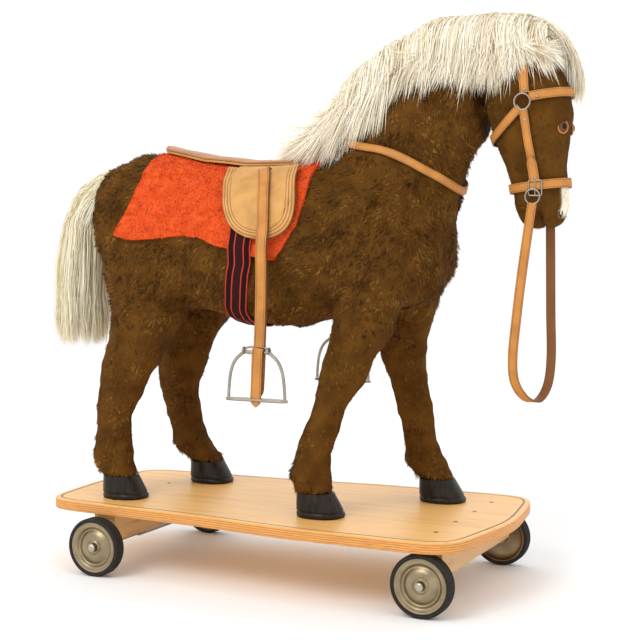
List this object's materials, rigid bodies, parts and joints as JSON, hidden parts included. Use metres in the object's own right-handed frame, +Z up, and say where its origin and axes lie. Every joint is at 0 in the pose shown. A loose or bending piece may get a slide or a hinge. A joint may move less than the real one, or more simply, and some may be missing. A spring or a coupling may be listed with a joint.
{
  "type": "ride-on horse",
  "caption": "Plush ride-on toy horse with saddle, bridle and swinging stirrups, standing on a plywood deck that rolls on disc wheels.",
  "frame": {"origin": "on the floor below the middle of the toy's outline: midway between the tail's back and the forelock's front, midway between the wheels", "axes": "+X the way the horse faces, +Y to the horse's left, +Z up"},
  "size_m": [0.9863, 0.4228, 0.9306],
  "materials": {
    "plywood": "satin",
    "beam_wood": "satin",
    "steel": "polished",
    "wheel_metal": "satin",
    "tyre_rubber": "matte",
    "brown_plush": "long pile plush",
    "pale_hair": "long loose hair",
    "hoof_black": "satin",
    "eye_glass": "gloss",
    "orange_plush": "short pile plush",
    "saddle_leather": "satin",
    "webbing": "woven"
  },
  "bodies": {
    "toy": {"bit": "steel", "body_board": "plywood", "breast_strap": "saddle_leather", "browband": "saddle_leather", "deck_board": "plywood", "front_axle": "steel", "front_axle_beam": "beam_wood", "front_axle_keeper": "steel", "front_left_hub_cap": "wheel_metal", "front_right_hub_cap": "wheel_metal", "girth": "webbing", "head": "brown_plush", "headstall": "saddle_leather", "left_ear": "brown_plush", "left_eye": "eye_glass", "left_fore_hoof": "hoof_black", "left_fore_leg": "brown_plush", "left_fore_leg_rod": "steel", "left_hind_hoof": "hoof_black", "left_hind_leg": "brown_plush", "left_hind_leg_rod": "steel", "left_saddle_flap": "saddle_leather", "mane": "pale_hair", "neck": "brown_plush", "neck_rod": "steel", "noseband": "saddle_leather", "rear_axle": "steel", "rear_axle_beam": "beam_wood", "rear_axle_keeper": "steel", "rear_left_hub_cap": "wheel_metal", "rear_right_hub_cap": "wheel_metal", "right_ear": "brown_plush", "right_eye": "eye_glass", "right_fore_hoof": "hoof_black", "right_fore_leg": "brown_plush", "right_fore_leg_rod": "steel", "right_hind_hoof": "hoof_black", "right_hind_leg": "brown_plush", "right_hind_leg_rod": "steel", "right_saddle_flap": "saddle_leather", "saddle_blanket": "orange_plush", "saddle_seat": "saddle_leather", "throat_lash": "saddle_leather", "torso": "brown_plush"},
    "rear_left_wheel": {"rear_left_wheel_disc": "wheel_metal", "rear_left_tyre": "tyre_rubber"},
    "rear_right_wheel": {"rear_right_wheel_disc": "wheel_metal", "rear_right_tyre": "tyre_rubber"},
    "front_left_wheel": {"front_left_wheel_disc": "wheel_metal", "front_left_tyre": "tyre_rubber"},
    "front_right_wheel": {"front_right_wheel_disc": "wheel_metal", "front_right_tyre": "tyre_rubber"},
    "right_leather": {"right_stirrup_leather": "saddle_leather"},
    "right_iron": {"right_stirrup_iron": "steel", "right_strap_ends": "saddle_leather"},
    "left_leather": {"left_stirrup_leather": "saddle_leather"},
    "left_iron": {"left_stirrup_iron": "steel", "left_strap_ends": "saddle_leather"},
    "rein_loop": {"reins": "saddle_leather"},
    "tail_hank": {"tail": "pale_hair"}
  },
  "joints": [
    {"name": "rear_left_wheel_spin", "type": "hinge", "parent": "toy", "child": "rear_left_wheel", "pos_m": [-0.2942, 0.189, 0.05], "axis": [0, 1, 0], "continuous": true},
    {"name": "rear_right_wheel_spin", "type": "hinge", "parent": "toy", "child": "rear_right_wheel", "pos_m": [-0.2942, -0.189, 0.05], "axis": [0, 1, 0], "continuous": true},
    {"name": "front_left_wheel_spin", "type": "hinge", "parent": "toy", "child": "front_left_wheel", "pos_m": [0.3018, 0.189, 0.05], "axis": [0, 1, 0], "continuous": true},
    {"name": "front_right_wheel_spin", "type": "hinge", "parent": "toy", "child": "front_right_wheel", "pos_m": [0.3018, -0.189, 0.05], "axis": [0, 1, 0], "continuous": true},
    {"name": "right_stirrup_swing", "type": "hinge", "parent": "toy", "child": "right_leather", "pos_m": [0.0038, -0.1649, 0.684], "axis": [0, 1, 0], "range_deg": [-30, 30]},
    {"name": "right_iron_tilt", "type": "hinge", "parent": "right_leather", "child": "right_iron", "pos_m": [0.0038, -0.1649, 0.394], "axis": [-1, 0, 0], "range_deg": [-15, 60]},
    {"name": "left_stirrup_swing", "type": "hinge", "parent": "toy", "child": "left_leather", "pos_m": [0.0038, 0.1649, 0.684], "axis": [0, 1, 0], "range_deg": [-30, 30]},
    {"name": "left_iron_tilt", "type": "hinge", "parent": "left_leather", "child": "left_iron", "pos_m": [0.0038, 0.1649, 0.394], "axis": [1, 0, 0], "range_deg": [-15, 60]},
    {"name": "rein_swing", "type": "hinge", "parent": "toy", "child": "rein_loop", "pos_m": [0.4248, 0, 0.64], "axis": [0, 1, 0], "range_deg": [-60, 35]},
    {"name": "tail_lift", "type": "hinge", "parent": "toy", "child": "tail_hank", "pos_m": [-0.3837, 0, 0.676], "axis": [0, 1, 0], "range_deg": [0, 50]}
  ]
}
